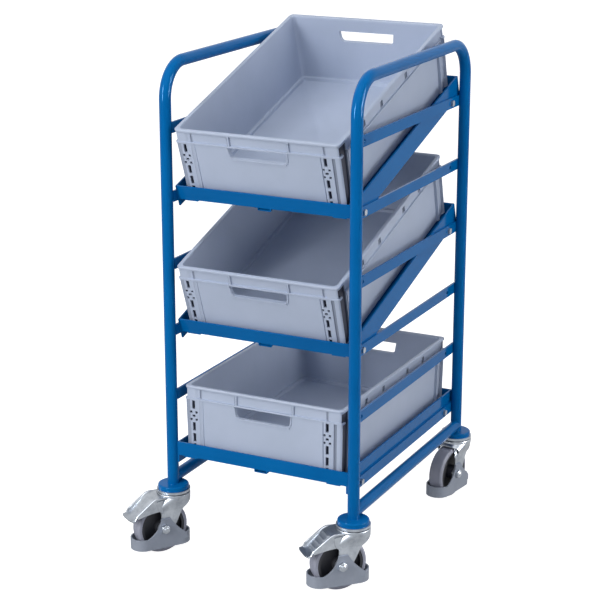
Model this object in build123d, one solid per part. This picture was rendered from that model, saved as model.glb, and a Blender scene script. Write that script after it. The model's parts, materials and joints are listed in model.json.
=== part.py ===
from build123d import *
import os
from math import asin, atan2, cos, degrees, hypot, radians, sin

# Three-tier bin trolley. Millimetres, X across, Y front to back, Z up.
# The origin is on the floor, midway between the four posts.

# Bins: drafted plastic boxes that stand in the trays
bin_length = 600.0
bin_width = 400.0
bin_height = 170.0
bin_wall = 3.0
bin_floor_t = 3.0
bin_corner_r = 12.0
bin_rim_corner_r = 7.0
bin_column_corner_r = 6.0
bin_rim_h = 10.0
bin_rim_out = 6.0
bin_draft = 5.0
bin_foot_step = 8.0
bin_foot_h = 8.0
bin_band_h = 33.0
bin_band_t = 4.0
bin_band_in = 0.5
bin_rib_t = 2.5
bin_column_w = 36.0
bin_column_out = 10.0
bin_side_rib_count = 5
grip_w = 138.0
grip_h = 27.0
grip_border = 4.0
grip_border_out = 3.0

# Trays: two side plates, two end bars, two ledges and a centre channel
bin_side_gap = 13.0
bin_end_gap = 5.0
bin_rest_gap = 0.2
plate_h = 50.0
plate_t = 4.0
plate_below_holes = 9.0
bar_h = 32.0
bar_t = 4.0
ledge_w = 33.0
ledge_t = 2.5
ledge_bolt_gap = 4.0
channel_w = 33.0
channel_h = 7.0
channel_t = 2.0
channel_bend_r = 2.5
slope_hole_rise = 5.0

# Side frames: bent hoops, lower tubes and flat rails
tube_d = 27.0
tube_wall = 2.0
hoop_bend_r = 78.0
hoop_above_rails = 139.0
post_inset = 2.0
tray_post_gap = 0.5
lower_tube_gap = 0.5
cope_land = 3.0
rail_h = 25.0
rail_t = 5.0
rail_end_short = 6.0
rail_rise = 50.0
rail_pitch = 155.0
rail_count = 6
rail_hole_inset = 59.0

# Tray fasteners
bolt_d = 8.0
bolt_hole_gap = 0.5
bolt_head_af = 13.0
bolt_head_h = 5.3
bolt_past_nut = 3.0
washer_d = 16.0
washer_t = 1.6
nut_h = 6.5
thread_gap = 0.05

# Caster fixings in the foot of each post
flange_d = 72.0
flange_t = 11.0
flange_edge_r = 3.5
plug_h = 25.0
plug_gap = 0.1
king_d = 12.0
king_hole_gap = 0.1
king_head_af = 19.0
king_head_h = 7.5
king_head_gap = 0.2

# Casters: local X runs from the swivel axis towards the axle
wheel_d = 125.0
wheel_w = 36.0
tread_t = 9.0
tread_edge_r = 6.0
core_w = 34.0
core_web_w = 14.0
core_rim_t = 6.0
hub_d = 36.0
hub_l = 45.0
hub_gap = 0.8
hub_bore_gap = 0.2
bearing_d = 24.0
bearing_l = 12.0
axle_d = 12.0
running_gap = 0.05
axle_head_af = 19.0
axle_head_h = 7.5
trail = 36.5
head_d = 78.0
head_flat = 0.4
crown_clear = 11.0
crown_t = 5.5
crown_edge_r = 1.5
notch_t = 12.0
notch_rise = 54.0
notch_r = 14.0
race_gap = 1.0
dish_t = 7.5
dish_edge_r = 3.0
ball_d = 6.7
ball_gap = 0.15
ball_circle_d = 54.0
ball_count = 14
leg_t = 3.0
leg_end_r = 17.0
leg_front = 7.0
waist_rise = 42.0
leg_rear = 25.5
bell_rise = 68.5
bell_curve = ((0.23, 0.85), (0.55, 0.63), (0.79, 0.31))
cheek_rear = 12.0
cheek_under_crown = 4.2
cheek_tab_l = 13.0
cheek_tab_h = 20.0
fork_wheel_gap = 3.5
guard_l = 146.0
guard_wall = 3.0
guard_gap = 0.5
guard_low = 15.5
guard_h = 27.0
web_top_rise = 25.0
web_front = 44.0
web_rear = 55.0
web_half_w = 9.0
web_rear_half_w = 14.0
web_curve_front = 0.36
web_curve_rear = 0.45

# Brake of the two front casters
pedal_t = 2.5
pedal_under_crown = 1.4
pedal_rear_t = 14.0
pedal_knee_t = 58.0
pedal_end_t = 101.0
pedal_drop = 34.0
pedal_lip_l = 21.0
pedal_lip_drop = 2.0
pedal_tongue_w = 45.0
pedal_pad_rise = 5.0
pedal_riser_l = 10.0
pedal_side_gap = 0.4
pedal_head_gap = 3.5
pedal_skirt_start = 1.5
pedal_skirt_lean = 3.5
pedal_skirt_deep = 30.0
pedal_skirt_shallow = 6.0
pedal_rib_count = 4
pedal_rib_h = 1.0
pedal_rib_w = 3.0
pedal_rib_edge = 6.0
pin_d = 6.0
pin_t = 22.0
pin_below_plate = 5.0
pin_l = 59.0
ear_t = 3.0
ear_r = 6.0
shoe_l = 11.0
shoe_w = 28.0
shoe_front_t = 44.0
shoe_lift = 2.6

# Swivel angles as the trolley stands: the way from post to axle, in degrees from +X
swivel_angle = {"front_left": 235.0, "front_right": 226.0, "rear_left": 240.0, "rear_right": 261.0}
braked = ("front_left", "front_right")

# Caster heights
axle_z = wheel_d / 2
crown_low = wheel_d + crown_clear
crown_top = crown_low + crown_t
dish_low = crown_top + race_gap
caster_h = dish_low + dish_t
head_r = head_d / 2
leg_in = hub_l / 2 + hub_gap
leg_out = leg_in + leg_t
web_in = leg_out + guard_gap
web_out = web_in + guard_wall

# Brake heights: the pedal's plate hangs just under the fork's crown
plate_top_z = crown_low - pedal_under_crown
pin_z = plate_top_z - pedal_t - pin_below_plate
pad_top_z = plate_top_z + pedal_pad_rise
pedal_half_w = leg_out + pedal_side_gap + pedal_t
skirt_t = trail + leg_front + pedal_skirt_start

# Side frame positions
tube_r = tube_d / 2
plate_in_x = bin_width / 2 + bin_side_gap
plate_out_x = plate_in_x + plate_t
rail_out_x = plate_out_x + rail_t
post_x = plate_out_x + tray_post_gap + tube_r
bar_in_y = bin_length / 2 + bin_end_gap
tray_half_l = bar_in_y + bar_t
post_y = tray_half_l - post_inset
flange_top = caster_h + flange_t
lower_tube_z = flange_top + lower_tube_gap + tube_r
rail_z = [lower_tube_z + rail_rise + rail_pitch * i for i in range(rail_count)]
hoop_top_z = rail_z[-1] + hoop_above_rails
hole_y = post_y - rail_hole_inset
bolt_hole_r = bolt_d / 2 + bolt_hole_gap
nut_x = plate_in_x - washer_t - nut_h
bolt_tip_x = nut_x - bolt_past_nut
ledge_out_x = bolt_tip_x - ledge_bolt_gap

# Tray heights above its hole line, and the second front hole that sets the slope
plate_top = plate_h - plate_below_holes
bar_low = plate_top - bar_h
rest_z = bar_low
hole_line = hypot(2 * hole_y, rail_pitch)
slope_extra = asin(slope_hole_rise / hole_line)
slope = degrees(atan2(rail_pitch, 2 * hole_y) + slope_extra)
slope_hole_y = hole_y - hole_line * cos(slope_extra)

# Each tray: the height of the rail that holds its rear end, of the rail that holds its front, and its slope
low_rail, _, third_rail, fourth_rail, *_, next_rail, top_rail = rail_z
trays = {
    "bottom": (low_rail, low_rail, 0.0),
    "middle": (fourth_rail, third_rail, slope),
    "top": (top_rail, next_rail, slope),
}

corners = {
    "front_left": (-post_x, -post_y),
    "front_right": (post_x, -post_y),
    "rear_left": (-post_x, post_y),
    "rear_right": (post_x, post_y),
}


def bar_between(x0, x1, y0, y1, z0, z1):
    size = (x1 - x0, y1 - y0, z1 - z0)
    return Pos((x0 + x1) / 2, (y0 + y1) / 2, (z0 + z1) / 2) * Box(*size)


def rod(radius, z0, z1):
    return Pos(0, 0, (z0 + z1) / 2) * Cylinder(radius, z1 - z0)


def rod_x(radius, x0, x1):
    return Pos((x0 + x1) / 2, 0, 0) * Rot(Y=90) * Cylinder(radius, x1 - x0)


def rod_y(radius, y0, y1):
    return Pos(0, (y0 + y1) / 2, 0) * Rot(X=90) * Cylinder(radius, y1 - y0)


def hexagon(across_flats, height):
    return extrude(RegularPolygon(across_flats / 2, 6, major_radius=False), height)


def side_face(points):
    return Plane.XZ * make_face(Polyline(*points, close=True))


def across(face, y0, y1):
    return Pos(0, y1, 0) * extrude(face, y1 - y0)


def tray_place(tier):
    rear, _, angle = trays[tier]
    turn = radians(angle)
    return Pos(0, hole_y * (1 - cos(turn)), rear - hole_y * sin(turn)) * Rot(X=angle)


def group(solids):
    return Compound(children=list(solids))


# Side frames

def hoop(side):
    x = side * post_x
    path = FilletPolyline(
        (x, -post_y, flange_top),
        (x, -post_y, hoop_top_z),
        (x, post_y, hoop_top_z),
        (x, post_y, flange_top),
        radius=hoop_bend_r,
    )
    start = Plane(origin=(x, -post_y, flange_top), z_dir=(0, 0, 1))
    outside = sweep(start * Circle(tube_r), path=path)
    inside = sweep(start * Circle(tube_r - tube_wall), path=path)
    return outside - inside


def post_rods(side):
    return [Pos(side * post_x, y, 0) * rod(tube_r, 0, hoop_top_z) for y in (-post_y, post_y)]


def lower_tube(side):
    place = Pos(side * post_x, 0, lower_tube_z)
    half_l = post_y - cope_land
    tube = place * (rod_y(tube_r, -half_l, half_l) - rod_y(tube_r - tube_wall, -half_l, half_l))
    for post in post_rods(side):
        tube -= post
    return tube


def rails(side):
    half_l = post_y - rail_end_short
    inner, outer = sorted((side * plate_out_x, side * rail_out_x))
    for z in rail_z:
        rail = bar_between(inner, outer, -half_l, half_l, z - rail_h / 2, z + rail_h / 2)
        for y in (-hole_y, hole_y):
            rail -= Pos(0, y, z) * rod_x(bolt_hole_r, inner, outer)
        for post in post_rods(side):
            rail -= post
        yield rail


def caster_flange():
    disc = rod(flange_d / 2, caster_h, flange_top)
    disc = fillet(disc.edges().group_by(Axis.Z)[-1], flange_edge_r)
    return disc - rod(king_d / 2 + king_hole_gap, caster_h, flange_top)


def post_plug():
    plug = rod(tube_r - tube_wall - plug_gap, flange_top, flange_top + plug_h)
    return plug - rod(king_d / 2 + thread_gap, flange_top, flange_top + plug_h)


def king_bolt():
    head_top = crown_low - king_head_gap
    head = Pos(0, 0, head_top - king_head_h) * hexagon(king_head_af, king_head_h)
    return head + rod(king_d / 2, head_top, flange_top + plug_h)


def ball_groove():
    ring = Torus(ball_circle_d / 2, ball_d / 2 + ball_gap)
    return Pos(0, 0, crown_top + race_gap / 2) * ring


def swivel_dish():
    dish = rod(head_r, dish_low, caster_h)
    dish = fillet(dish.edges().group_by(Axis.Z)[0], dish_edge_r)
    return dish - rod(king_d / 2 + king_hole_gap, dish_low, caster_h) - ball_groove()


def at_posts(shape):
    return [Pos(x, y, 0) * shape for x, y in corners.values()]


# Trays, drawn flat about the hole line and the tray's middle

def side_plate(side):
    inner, outer = sorted((side * plate_in_x, side * plate_out_x))
    plate = bar_between(inner, outer, -tray_half_l, tray_half_l, -plate_below_holes, plate_top)
    for y, z in ((hole_y, 0), (-hole_y, 0), (slope_hole_y, slope_hole_rise)):
        plate -= Pos(0, y, z) * rod_x(bolt_hole_r, inner, outer)
    return plate


def end_bar(end):
    near, far = sorted((end * bar_in_y, end * tray_half_l))
    return bar_between(-plate_in_x, plate_in_x, near, far, bar_low, plate_top)


def ledge(side):
    near, far = sorted((side * (ledge_out_x - ledge_w), side * ledge_out_x))
    return bar_between(near, far, -tray_half_l, tray_half_l, rest_z - ledge_t, rest_z)


def centre_channel():
    half_w = channel_w / 2
    outer = bar_between(-half_w, half_w, -tray_half_l, tray_half_l, rest_z - channel_h, rest_z)
    lower_edges = outer.edges().filter_by(Axis.Y).group_by(Axis.Z)[0]
    outer = fillet(lower_edges, channel_bend_r)
    inside_w = half_w - channel_t
    inside_low = rest_z - channel_h + channel_t
    return outer - bar_between(-inside_w, inside_w, -tray_half_l, tray_half_l, inside_low, rest_z)


def tray_supports():
    return [ledge(-1), centre_channel(), ledge(1)]


def bolt_places():
    for rear, front, _ in trays.values():
        for side in (-1, 1):
            yield side, -hole_y, front
            yield side, hole_y, rear


def outward(side, shape):
    return shape if side > 0 else Rot(Z=180) * shape


def tray_bolt():
    head = Pos(rail_out_x, 0, 0) * Rot(Y=90) * hexagon(bolt_head_af, bolt_head_h)
    return head + rod_x(bolt_d / 2, bolt_tip_x, rail_out_x)


def tray_washer():
    start = plate_in_x - washer_t
    ring = rod_x(washer_d / 2, start, plate_in_x)
    return ring - rod_x(bolt_d / 2 + thread_gap, start, plate_in_x)


def tray_nut():
    nut = Pos(nut_x, 0, 0) * Rot(Y=90) * hexagon(bolt_head_af, nut_h)
    return nut - rod_x(bolt_d / 2 + thread_gap, nut_x, nut_x + nut_h)


def at_bolts(shape):
    return [Pos(0, y, z) * outward(side, shape) for side, y, z in bolt_places()]


# Bins, drawn standing on the plane z = 0

def bin_wall_at(z):
    share = (z - bin_foot_h) / (bin_height - bin_foot_h)
    inset = bin_rim_out + bin_draft * (1 - share)
    return bin_width / 2 - inset, bin_length / 2 - inset


def bin_section(z, half_x, half_y, corner_r):
    return Pos(0, 0, z) * RectangleRounded(2 * half_x, 2 * half_y, corner_r)


def bin_shell():
    low_x, low_y = bin_wall_at(bin_foot_h)
    high_x, high_y = bin_wall_at(bin_height)
    foot_x, foot_y = low_x - bin_foot_step, low_y - bin_foot_step
    inner_r = bin_corner_r - bin_wall
    floor_z = bin_foot_h + bin_floor_t
    above = bin_height + bin_rim_h
    above_x, above_y = bin_wall_at(above)
    floor_x, floor_y = bin_wall_at(floor_z)
    outside = loft([
        bin_section(bin_foot_h, low_x, low_y, bin_corner_r),
        bin_section(bin_height, high_x, high_y, bin_corner_r),
    ])
    outside += extrude(bin_section(0, foot_x, foot_y, bin_corner_r), floor_z)
    inside = loft([
        bin_section(floor_z, floor_x - bin_wall, floor_y - bin_wall, inner_r),
        bin_section(above, above_x - bin_wall, above_y - bin_wall, inner_r),
    ])
    well = bin_section(bin_floor_t, foot_x - bin_wall, foot_y - bin_wall, inner_r)
    return outside, inside + extrude(well, bin_foot_h)


def bin_bands():
    rim_low = bin_height - bin_rim_h
    rim = extrude(bin_section(rim_low, bin_width / 2, bin_length / 2, bin_rim_corner_r), bin_rim_h)
    band_x, band_y = bin_width / 2 - bin_band_in, bin_length / 2 - bin_band_in
    band_low = bin_height - bin_band_h
    band = extrude(bin_section(band_low, band_x, band_y, bin_rim_corner_r), bin_band_t)
    return rim + band


def bin_columns():
    top = bin_height - bin_band_h
    wall_x, wall_y = bin_wall_at(bin_foot_h)
    face_x, face_y = wall_x + bin_column_out, wall_y + bin_column_out
    block = extrude(bin_section(bin_foot_h, face_x, face_y, bin_column_corner_r), top - bin_foot_h)
    open_x, open_y = wall_x - bin_column_w, wall_y - bin_column_w
    block -= bar_between(-open_x, open_x, -bin_length, bin_length, 0, bin_height)
    return block - bar_between(-bin_width, bin_width, -open_y, open_y, 0, bin_height)


def bin_upright_ribs():
    low = bin_height - bin_band_h
    high = bin_height - bin_rim_h
    half_t = bin_rib_t / 2
    wall_x, wall_y = bin_wall_at(bin_foot_h)
    face_x, face_y = bin_width / 2 - bin_band_in, bin_length / 2 - bin_band_in
    column_x = wall_x - bin_column_w
    grip_x = grip_w / 2 + grip_border
    for end in (-1, 1):
        near, far = sorted((end * (wall_y - bin_wall), end * face_y))
        for x in (-column_x, -grip_x, grip_x, column_x):
            yield bar_between(x - half_t, x + half_t, near, far, low, high)
    column_y = wall_y - bin_column_w
    step = 2 * column_y / (bin_side_rib_count - 1)
    for side in (-1, 1):
        near, far = sorted((side * (wall_x - bin_wall), side * face_x))
        for i in range(bin_side_rib_count):
            y = -column_y + step * i
            yield bar_between(near, far, y - half_t, y + half_t, low, high)


def grip_cuts(end, border):
    high = bin_height - bin_band_h
    low = high - grip_h - border
    half_w = grip_w / 2 + border
    _, wall_y = bin_wall_at(bin_foot_h)
    out = wall_y + bin_draft + (grip_border_out if border else bin_rim_out)
    near, far = sorted((end * (wall_y - 2 * bin_wall), end * out))
    return bar_between(-half_w, half_w, near, far, low, high)


def make_bin():
    outside, inside = bin_shell()
    body = outside + bin_bands() + bin_columns()
    for rib in bin_upright_ribs():
        body += rib
    for end in (-1, 1):
        body += grip_cuts(end, grip_border)
    body -= inside
    for end in (-1, 1):
        body -= grip_cuts(end, 0)
    return body


def bin_place(tier):
    return tray_place(tier) * Pos(0, 0, rest_z + bin_rest_gap)


# Casters, drawn about the swivel axis with the axle towards +X

def fork_section(z, x0, x1, half_w, corner_r, inset):
    size_x = x1 - x0 - 2 * inset
    size_y = 2 * (half_w - inset)
    return Pos((x0 + x1) / 2, 0, z) * RectangleRounded(size_x, size_y, corner_r - inset)


def fork_skin(inset):
    waist_z = axle_z + waist_rise
    low_z = axle_z - leg_end_r
    round_r = head_r - inset
    top = Pos(0, 0, crown_low) * RectangleRounded(2 * round_r, 2 * round_r, round_r - head_flat)
    reach = trail + leg_end_r + leg_t + leg_end_r
    waist = fork_section(waist_z, -head_r + leg_t, reach, leg_out, leg_end_r, inset)
    return loft([waist, top]) + extrude(waist, low_z - waist_z)


def fork_outline():
    high = crown_top
    back = -head_r - leg_t
    front = trail + leg_front
    foot = trail - leg_rear
    bell = [(back + (foot - back) * along, axle_z + bell_rise * rise) for along, rise in bell_curve]
    rear = Spline((back, axle_z + bell_rise), *bell, (foot, axle_z))
    rest = Polyline((foot, axle_z), (front, axle_z), (front, high), (back, high), (back, axle_z + bell_rise))
    face = Plane.XZ * make_face(rear + rest)
    legs = across(face, -head_r - leg_t, head_r + leg_t)
    return legs + Pos(trail, 0, axle_z) * rod_y(leg_end_r, -head_r, head_r)


def fork_cheeks():
    high = crown_low - cheek_under_crown
    front = trail + leg_front
    face = side_face([(cheek_rear, axle_z), (front, axle_z), (front, high), (cheek_rear, high)])
    return across(face, leg_in, leg_out) + across(face, -leg_out, -leg_in)


def cheek_tabs():
    high = crown_low - cheek_under_crown
    front = trail + leg_front
    for y0, y1 in ((leg_in, leg_out), (-leg_out, -leg_in)):
        yield bar_between(front, front + cheek_tab_l, y0, y1, high - cheek_tab_h, high)


def make_fork(name):
    fork = fork_skin(0) - fork_skin(leg_t)
    if name in braked:
        fork += fork_cheeks()
    fork = fork & fork_outline()
    if name in braked:
        for tab in cheek_tabs():
            fork += tab
    crown = rod(head_r, crown_low, crown_top)
    crown = fillet(crown.edges().group_by(Axis.Z)[-1], crown_edge_r)
    fork += crown
    fork -= rod(king_d / 2 + running_gap, crown_low, crown_top)
    fork -= ball_groove()
    wheel_room = rod_y(wheel_d / 2 + fork_wheel_gap, -leg_in, leg_in)
    fork -= Pos(trail, 0, axle_z) * wheel_room
    fork -= Pos(trail, 0, axle_z) * rod_y(axle_d / 2, -head_r, head_r)
    if name in braked:
        fork -= bar_between(pin_t, trail + head_r, -leg_in, leg_in, axle_z, crown_low)
        fork -= Pos(pin_t, 0, pin_z) * rod_y(pin_d / 2, -pin_l / 2, pin_l / 2)
    else:
        fork -= Pos(trail + notch_t, 0, axle_z + notch_rise) * rod_y(notch_r, -head_r, head_r)
    return fork


def ball_ring():
    ball = Pos(ball_circle_d / 2, 0, crown_top + race_gap / 2) * Sphere(ball_d / 2)
    return group(Rot(Z=360 * i / ball_count) * ball for i in range(ball_count))


def guard_band(half_w):
    half_l = guard_l / 2 - (web_out - half_w)
    loop = Pos(trail, 0, guard_low) * SlotOverall(2 * half_l, 2 * half_w)
    return extrude(loop, guard_h)


def guard_web():
    high = axle_z + web_top_rise
    band_top = guard_low + guard_h
    foot_front, foot_rear = trail + web_front, trail - web_rear
    head_front, head_rear = trail + web_half_w, trail - web_rear_half_w
    lift = high - band_top
    front_mid = (head_front + (foot_front - head_front) * web_curve_front, band_top + lift * web_curve_front)
    rear_mid = (head_rear + (foot_rear - head_rear) * web_curve_rear, band_top + lift * web_curve_rear)
    front_curve = ThreePointArc((foot_front, band_top), front_mid, (head_front, high))
    rear_curve = ThreePointArc((head_rear, high), rear_mid, (foot_rear, band_top))
    low = guard_low + guard_h / 2
    rest = Polyline((foot_rear, band_top), (foot_rear, low), (foot_front, low), (foot_front, band_top))
    cap = Line((head_front, high), (head_rear, high))
    return Plane.XZ * make_face(front_curve + cap + rear_curve + rest)


def foot_guard():
    guard = guard_band(web_out) - guard_band(web_in)
    web = guard_web()
    guard += across(web, web_in, web_out)
    guard += across(web, -web_out, -web_in)
    return guard - Pos(trail, 0, axle_z) * rod_y(axle_d / 2, -web_out, web_out)


def axle():
    tip = web_out + axle_head_h
    shank = rod_y(axle_d / 2, -tip, web_out)
    head = Pos(0, web_out, 0) * Rot(X=-90) * hexagon(axle_head_af, axle_head_h)
    nut = Pos(0, -web_out, 0) * Rot(X=90) * hexagon(axle_head_af, axle_head_h)
    nut -= rod_y(axle_d / 2 + thread_gap, -tip, -web_out)
    place = Pos(trail, 0, axle_z)
    return group([place * (shank + head), place * nut])


def tyre():
    inner_r = wheel_d / 2 - tread_t
    ring = rod_y(wheel_d / 2, -wheel_w / 2, wheel_w / 2)
    ring = fillet(ring.edges().filter_by(GeomType.CIRCLE), tread_edge_r)
    return Pos(trail, 0, axle_z) * (ring - rod_y(inner_r, -wheel_w, wheel_w))


def wheel_core():
    rim_r = wheel_d / 2 - tread_t
    core = rod_y(rim_r, -core_w / 2, core_w / 2)
    for side in (-1, 1):
        near, far = sorted((side * core_web_w / 2, side * core_w / 2))
        core -= rod_y(rim_r - core_rim_t, near, far)
    core += rod_y(hub_d / 2, -hub_l / 2, hub_l / 2)
    core -= rod_y(axle_d / 2 + hub_bore_gap, -hub_l / 2, hub_l / 2)
    for side in (-1, 1):
        near, far = sorted((side * (hub_l / 2 - bearing_l), side * hub_l / 2))
        core -= rod_y(bearing_d / 2, near, far)
    return Pos(trail, 0, axle_z) * core


def wheel_bearings():
    bore_r = axle_d / 2 + running_gap
    solids = []
    for side in (-1, 1):
        near, far = sorted((side * (hub_l / 2 - bearing_l), side * hub_l / 2))
        ring = rod_y(bearing_d / 2, near, far) - rod_y(bore_r, near, far)
        solids.append(Pos(trail, 0, axle_z) * ring)
    return group(solids)


# Brake pedal, its shoe and its pin

def pedal_line():
    end_z = pad_top_z - pedal_drop
    return [
        (pin_t, pad_top_z),
        (pedal_knee_t, pad_top_z),
        (pedal_end_t, end_z),
        (pedal_end_t + pedal_lip_l, end_z - pedal_lip_drop),
    ]


def strip(points):
    lower = [(x, z - pedal_t) for x, z in reversed(points)]
    return side_face(list(points) + lower)


def pedal_ribs():
    knee, end = pedal_line()[1:3]
    run = hypot(end[0] - knee[0], end[1] - knee[1])
    tilt = degrees(atan2(knee[1] - end[1], end[0] - knee[0]))
    half_w = pedal_half_w - pedal_rib_edge
    step = run / (pedal_rib_count + 1)
    for i in range(1, pedal_rib_count + 1):
        rib = bar_between(-pedal_rib_w / 2, pedal_rib_w / 2, -half_w, half_w, -pedal_t / 2, pedal_rib_h)
        yield Pos(knee[0], 0, knee[1]) * Rot(Y=tilt) * Pos(step * i, 0, 0) * rib


def brake_pedal():
    line = pedal_line()
    end_t, end_z = line[2]
    pad = across(strip(line), -pedal_half_w, pedal_half_w)
    pad -= rod(head_r + pedal_head_gap, axle_z, caster_h)
    tongue_line = [(pedal_rear_t, plate_top_z), (pedal_knee_t, plate_top_z)]
    half_w = pedal_tongue_w / 2
    pedal = pad + across(strip(tongue_line), -half_w, half_w)
    riser_t = pedal_knee_t - pedal_riser_l
    pedal += bar_between(riser_t, pedal_knee_t, -half_w, half_w, plate_top_z - pedal_t, pad_top_z)
    skirt = side_face([
        (skirt_t, pad_top_z),
        line[1],
        line[2],
        (end_t, end_z - pedal_skirt_shallow),
        (skirt_t + pedal_skirt_lean, pad_top_z - pedal_skirt_deep),
    ])
    for y in (-pedal_half_w, pedal_half_w - pedal_t):
        pedal += across(skirt, y, y + pedal_t)
    ear = Pos(pin_t, 0, pin_z) * rod_y(ear_r, -ear_t / 2, ear_t / 2)
    ear += bar_between(pin_t - ear_r, pin_t + ear_r, -ear_t / 2, ear_t / 2, pin_z, plate_top_z - pedal_t)
    for y in (-half_w + ear_t / 2, half_w - ear_t / 2):
        pedal += Pos(0, y, 0) * ear
    for rib in pedal_ribs():
        pedal += rib
    return pedal - Pos(pin_t, 0, pin_z) * rod_y(pin_d / 2 + running_gap, -pin_l / 2, pin_l / 2)


def brake_shoe():
    half_w = shoe_w / 2
    low, high = wheel_d + shoe_lift, plate_top_z - pedal_t
    return bar_between(shoe_front_t - shoe_l, shoe_front_t, -half_w, half_w, low, high)


def pedal_pin():
    return Pos(pin_t, 0, pin_z) * rod_y(pin_d / 2, -pin_l / 2, pin_l / 2)


def caster_nodes(name):
    x, y = corners[name]
    place = Pos(x, y, 0) * Rot(Z=swivel_angle[name])
    pieces = {
        "fork": make_fork(name),
        "ball_ring": ball_ring(),
        "foot_guard": foot_guard(),
        "axle": axle(),
        "wheel_core": wheel_core(),
        "tyre": tyre(),
        "wheel_bearings": wheel_bearings(),
    }
    if name in braked:
        pieces["brake_pedal"] = brake_pedal()
        pieces["brake_shoe"] = brake_shoe()
        pieces["pedal_pin"] = pedal_pin()
    return {f"{name}_{piece}": place * shape for piece, shape in pieces.items()}


def tray_nodes(tier):
    place = tray_place(tier)
    return {
        f"{tier}_tray_side_plates": place * group([side_plate(-1), side_plate(1)]),
        f"{tier}_tray_end_bars": place * group([end_bar(-1), end_bar(1)]),
        f"{tier}_tray_supports": place * group(tray_supports()),
        f"{tier}_bin": bin_place(tier) * make_bin(),
    }


def all_nodes():
    nodes = {
        "left_hoop": hoop(-1),
        "right_hoop": hoop(1),
        "left_lower_tube": lower_tube(-1),
        "right_lower_tube": lower_tube(1),
        "left_rails": group(rails(-1)),
        "right_rails": group(rails(1)),
        "caster_flanges": group(at_posts(caster_flange())),
        "post_plugs": group(at_posts(post_plug())),
        "king_bolts": group(at_posts(king_bolt())),
        "swivel_dishes": group(at_posts(swivel_dish())),
        "tray_bolts": group(at_bolts(tray_bolt())),
        "tray_washers": group(at_bolts(tray_washer())),
        "tray_nuts": group(at_bolts(tray_nut())),
    }
    for tier in trays:
        nodes.update(tray_nodes(tier))
    for name in corners:
        nodes.update(caster_nodes(name))
    return nodes


os.makedirs("parts", exist_ok=True)
for node, shape in all_nodes().items():
    export_step(shape, f"parts/{node}.step")
print("slope of the upper trays:", round(slope, 2), "degrees; height:", round(hoop_top_z + tube_r, 1), "mm")
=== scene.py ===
import json
from math import cos, pi, radians, sin
import bpy
import numpy as np
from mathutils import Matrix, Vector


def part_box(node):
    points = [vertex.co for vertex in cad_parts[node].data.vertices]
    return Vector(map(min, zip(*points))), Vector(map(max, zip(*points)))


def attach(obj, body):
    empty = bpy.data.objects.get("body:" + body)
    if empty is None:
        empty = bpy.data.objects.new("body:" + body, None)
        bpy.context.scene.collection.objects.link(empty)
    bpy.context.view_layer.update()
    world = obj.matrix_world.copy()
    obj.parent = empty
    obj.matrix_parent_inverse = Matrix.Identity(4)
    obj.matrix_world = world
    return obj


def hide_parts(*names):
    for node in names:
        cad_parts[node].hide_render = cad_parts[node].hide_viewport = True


# Bin trolley: blue tube frame, sloped trays, grey bins and braked casters
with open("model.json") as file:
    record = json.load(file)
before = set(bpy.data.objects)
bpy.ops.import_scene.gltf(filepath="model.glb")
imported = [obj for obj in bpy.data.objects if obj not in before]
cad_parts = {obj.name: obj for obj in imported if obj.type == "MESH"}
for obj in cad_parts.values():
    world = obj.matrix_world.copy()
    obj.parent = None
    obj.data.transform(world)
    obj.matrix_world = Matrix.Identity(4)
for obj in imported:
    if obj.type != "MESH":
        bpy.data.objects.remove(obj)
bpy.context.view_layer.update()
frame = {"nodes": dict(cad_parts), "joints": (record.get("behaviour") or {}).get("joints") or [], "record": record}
mm = 0.001
nodes = frame["nodes"]
joints = {joint["name"]: joint for joint in frame["joints"]}


# node sockets: arithmetic on them adds Math nodes
class Wire:
    def __init__(self, tree, socket=None):
        self.tree = tree
        self.socket = socket

    def node(self, kind, settings=(), inputs=(), output=0):
        made = self.tree.nodes.new("ShaderNode" + kind)
        for name, value in dict(settings).items():
            setattr(made, name, value)
        for name, value in dict(inputs).items():
            if isinstance(value, Wire):
                self.tree.links.new(value.socket, made.inputs[name])
            else:
                made.inputs[name].default_value = value
        return Wire(self.tree, made.outputs[output] if made.outputs else None)

    def math(self, operation, other):
        return self.node("Math", {"operation": operation}, {0: self, 1: other})

    def __add__(self, other):
        return self.math("ADD", other)

    def __mul__(self, other):
        return self.math("MULTIPLY", other)

    __radd__ = __add__
    __rmul__ = __mul__


def newFinish(name):
    finish = bpy.data.materials.new(name)
    finish.use_nodes = True
    finish.node_tree.nodes.clear()
    return finish, Wire(finish.node_tree)


def closeFinish(wire, inputs):
    shader = wire.node("BsdfPrincipled", inputs=inputs)
    wire.node("OutputMaterial", inputs={"Surface": shader})


# a noise is given by its scale, its detail and its roughness
def noise(wire, scale, detail, roughness):
    place = wire.node("TexCoord", output="Object")
    return wire.node("TexNoise", inputs={"Vector": place, "Scale": scale, "Detail": detail,
                                         "Roughness": roughness})


def mixed(wire, share, first, second):
    return wire.node("Mix", {"data_type": "RGBA"}, {"Factor": share, 6: first, 7: second}, output=2)


# 0 at the low value, 1 at the high one
def ramp(wire, value, low, high):
    return wire.node("MapRange", inputs={"Value": value, "From Min": low, "From Max": high})


def bumped(wire, height, distance, strength):
    return wire.node("Bump", inputs={"Height": height, "Distance": distance, "Strength": strength})


# powder coat: even blue with faint clouds, and an orange-peel skin under a gloss that is drier on undersides
blueCoat = {
    "deep": (0.0005, 0.104, 0.325, 1), "light": (0.001, 0.126, 0.38, 1),
    "clouds": (6.0, 4.0, 0.5), "spread": (0.3, 0.7),
    "peel": (420.0, 2.0, 0.5), "peelDepth": 0.00006, "peelStrength": 0.5,
    "gloss": 0.07, "smear": (35.0, 3.0, 0.5), "smearRoughness": 0.05,
    "dryRoughness": 0.5, "dryFrom": (-0.3, -0.8),  # the upward share of the surface's direction
    "mirror": 0.1, "mirrorTint": (0.25, 0.6, 1, 1),
}


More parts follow.
